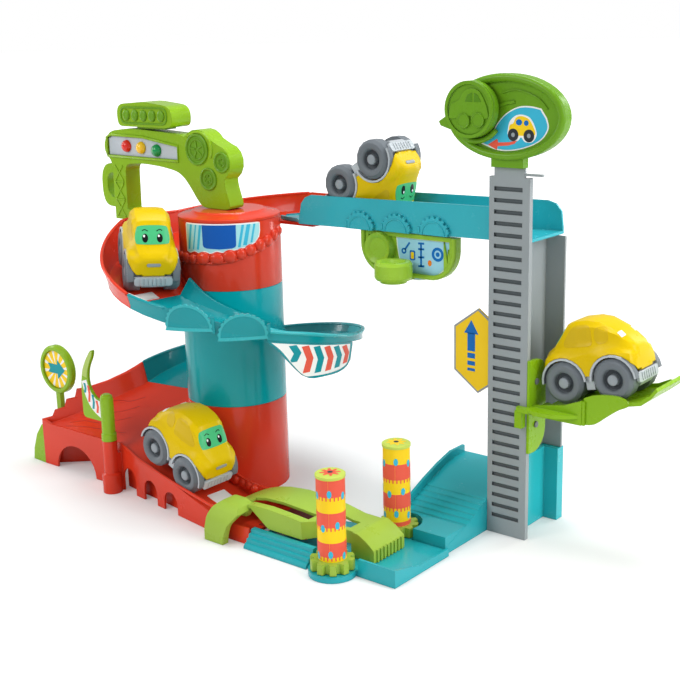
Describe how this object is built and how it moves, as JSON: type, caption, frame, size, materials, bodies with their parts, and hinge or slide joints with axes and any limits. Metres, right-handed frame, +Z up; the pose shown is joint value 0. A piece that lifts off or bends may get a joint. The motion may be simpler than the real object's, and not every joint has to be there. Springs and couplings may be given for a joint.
{
  "type": "toy garage",
  "caption": "Toy garage with a spiral car track round a column, a bridge, a slotted lift tower with a tray, wash rollers, a ramp, a swinging gate, signs and small rolling cars.",
  "frame": {"origin": "the big column's axis where its flat base meets the floor", "axes": "+X from the column along the bridge to the lift tower, +Y to the back, +Z up"},
  "size_m": [0.756, 0.3045, 0.466],
  "materials": {
    "red_plastic": "gloss",
    "teal_plastic": "gloss",
    "lime_plastic": "gloss",
    "grey_plastic": "satin",
    "pale_grey_plastic": "satin",
    "tyre_grey": "satin",
    "yellow_plastic": "gloss",
    "steel": "satin",
    "red_lens": "gloss",
    "yellow_lens": "gloss",
    "green_lens": "gloss",
    "yellow_card": "printed",
    "sign_yellow": "printed",
    "wash_print": "printed",
    "panel_grey": "gloss"
  },
  "bodies": {
    "garage": {"arch_frame": "lime_plastic", "arrow_sign": "sign_yellow", "balcony_screen": "teal_plastic", "bridge": "teal_plastic", "column_cap": "red_plastic", "corner_base": "teal_plastic", "deck": "lime_plastic", "front_roller_pin": "grey_plastic", "green_lamp": "green_lens", "hanging_panel": "lime_plastic", "lamp_panel": "panel_grey", "lower_column": "red_plastic", "lower_track": "red_plastic", "middle_column": "teal_plastic", "middle_track": "teal_plastic", "ramp": "teal_plastic", "rear_roller_pin": "grey_plastic", "red_lamp": "red_lens", "round_sign": "lime_plastic", "round_sign_disc": "yellow_card", "side_strip": "teal_plastic", "top_sign": "lime_plastic", "tower_foot": "teal_plastic", "tower_front": "grey_plastic", "tower_rear": "grey_plastic", "upper_column": "red_plastic", "upper_track": "red_plastic", "visor_sign": "lime_plastic", "yellow_lamp": "yellow_lens"},
    "gate": {"gate_flap": "lime_plastic"},
    "front_roller": {"front_roller": "wash_print", "front_roller_cap": "lime_plastic"},
    "rear_roller": {"rear_roller": "wash_print", "rear_roller_cap": "lime_plastic"},
    "lift": {"lift_carriage": "lime_plastic", "upper_screw": "steel", "lower_screw": "steel", "tray_pin": "steel"},
    "tray": {"lift_tray": "lime_plastic"},
    "sign_knob": {"sign_knob": "lime_plastic"},
    "panel_knob": {"panel_knob": "lime_plastic"},
    "car_1": {"car_1_shell": "yellow_plastic", "car_1_chassis": "pale_grey_plastic"},
    "car_1_front_wheels": {"car_1_front_wheels": "tyre_grey"},
    "car_1_rear_wheels": {"car_1_rear_wheels": "tyre_grey"},
    "car_2": {"car_2_shell": "yellow_plastic", "car_2_chassis": "pale_grey_plastic"},
    "car_2_front_wheels": {"car_2_front_wheels": "tyre_grey"},
    "car_2_rear_wheels": {"car_2_rear_wheels": "tyre_grey"},
    "car_3": {"car_3_shell": "yellow_plastic", "car_3_chassis": "pale_grey_plastic"},
    "car_3_front_wheels": {"car_3_front_wheels": "tyre_grey"},
    "car_3_rear_wheels": {"car_3_rear_wheels": "tyre_grey"},
    "car_4": {"car_4_shell": "yellow_plastic", "car_4_chassis": "pale_grey_plastic"},
    "car_4_front_wheels": {"car_4_front_wheels": "tyre_grey"},
    "car_4_rear_wheels": {"car_4_rear_wheels": "tyre_grey"}
  },
  "joints": [
    {"name": "lift_slide", "type": "slide", "parent": "garage", "child": "lift", "axis": [0, 0, 1], "range_m": [-0.088, 0.16]},
    {"name": "tray_hinge", "type": "hinge", "parent": "lift", "child": "tray", "pos_m": [0.372, 0.055, 0.138], "axis": [0, 1, 0], "range_deg": [0, 25]},
    {"name": "gate_swing", "type": "hinge", "parent": "garage", "child": "gate", "pos_m": [-0.09, -0.1195, 0.09], "axis": [0, 0, 1], "range_deg": [-80, 80]},
    {"name": "front_roller_spin", "type": "hinge", "parent": "garage", "child": "front_roller", "pos_m": [0.252, -0.136, 0.05], "axis": [0, 0, 1], "continuous": true},
    {"name": "rear_roller_spin", "type": "hinge", "parent": "garage", "child": "rear_roller", "pos_m": [0.252, -0.031, 0.05], "axis": [0, 0, 1], "continuous": true},
    {"name": "sign_knob_turn", "type": "hinge", "parent": "garage", "child": "sign_knob", "pos_m": [0.306, 0.0297, 0.433], "axis": [0, -1, 0], "range_deg": [-30, 30]},
    {"name": "panel_knob_turn", "type": "hinge", "parent": "garage", "child": "panel_knob", "pos_m": [0.208, 0.027, 0.26], "axis": [0, 0, 1], "continuous": true},
    {"name": "car_1_lift_off", "type": "slide", "parent": "garage", "child": "car_1", "axis": [0, 0, 1], "range_m": [0, 0.015]},
    {"name": "car_1_front_axle", "type": "hinge", "parent": "car_1", "child": "car_1_front_wheels", "pos_m": [-0.03048, -0.09312, 0.26055], "axis": [0.5869, 0.8079, -0.0539], "continuous": true},
    {"name": "car_1_rear_axle", "type": "hinge", "parent": "car_1", "child": "car_1_rear_wheels", "pos_m": [-0.07074, -0.06278, 0.27693], "axis": [0.5869, 0.8079, -0.0539], "continuous": true},
    {"name": "car_2_lift_off", "type": "slide", "parent": "garage", "child": "car_2", "axis": [0, 0, 1], "range_m": [0, 0.015]},
    {"name": "car_2_front_axle", "type": "hinge", "parent": "car_2", "child": "car_2_front_wheels", "pos_m": [0.03652, -0.09435, 0.04807], "axis": [0.0642, 0.9975, 0.0281], "continuous": true},
    {"name": "car_2_rear_axle", "type": "hinge", "parent": "car_2", "child": "car_2_rear_wheels", "pos_m": [-0.0122, -0.09179, 0.06878], "axis": [0.0642, 0.9975, 0.0281], "continuous": true},
    {"name": "car_3_lift_off", "type": "slide", "parent": "tray", "child": "car_3", "axis": [0, 0, 1], "range_m": [0, 0.015]},
    {"name": "car_3_front_axle", "type": "hinge", "parent": "car_3", "child": "car_3_front_wheels", "pos_m": [0.39508, 0.08, 0.16957], "axis": [0, -1, 0], "continuous": true},
    {"name": "car_3_rear_axle", "type": "hinge", "parent": "car_3", "child": "car_3_rear_wheels", "pos_m": [0.44683, 0.08, 0.18104], "axis": [0, -1, 0], "continuous": true},
    {"name": "car_4_lift_off", "type": "slide", "parent": "garage", "child": "car_4", "axis": [0, 0, 1], "range_m": [0, 0.015]},
    {"name": "car_4_front_axle", "type": "hinge", "parent": "car_4", "child": "car_4_front_wheels", "pos_m": [0.16186, 0.08, 0.37572], "axis": [0, -1, 0], "continuous": true},
    {"name": "car_4_rear_axle", "type": "hinge", "parent": "car_4", "child": "car_4_rear_wheels", "pos_m": [0.11741, 0.08, 0.34686], "axis": [0, -1, 0], "continuous": true}
  ]
}
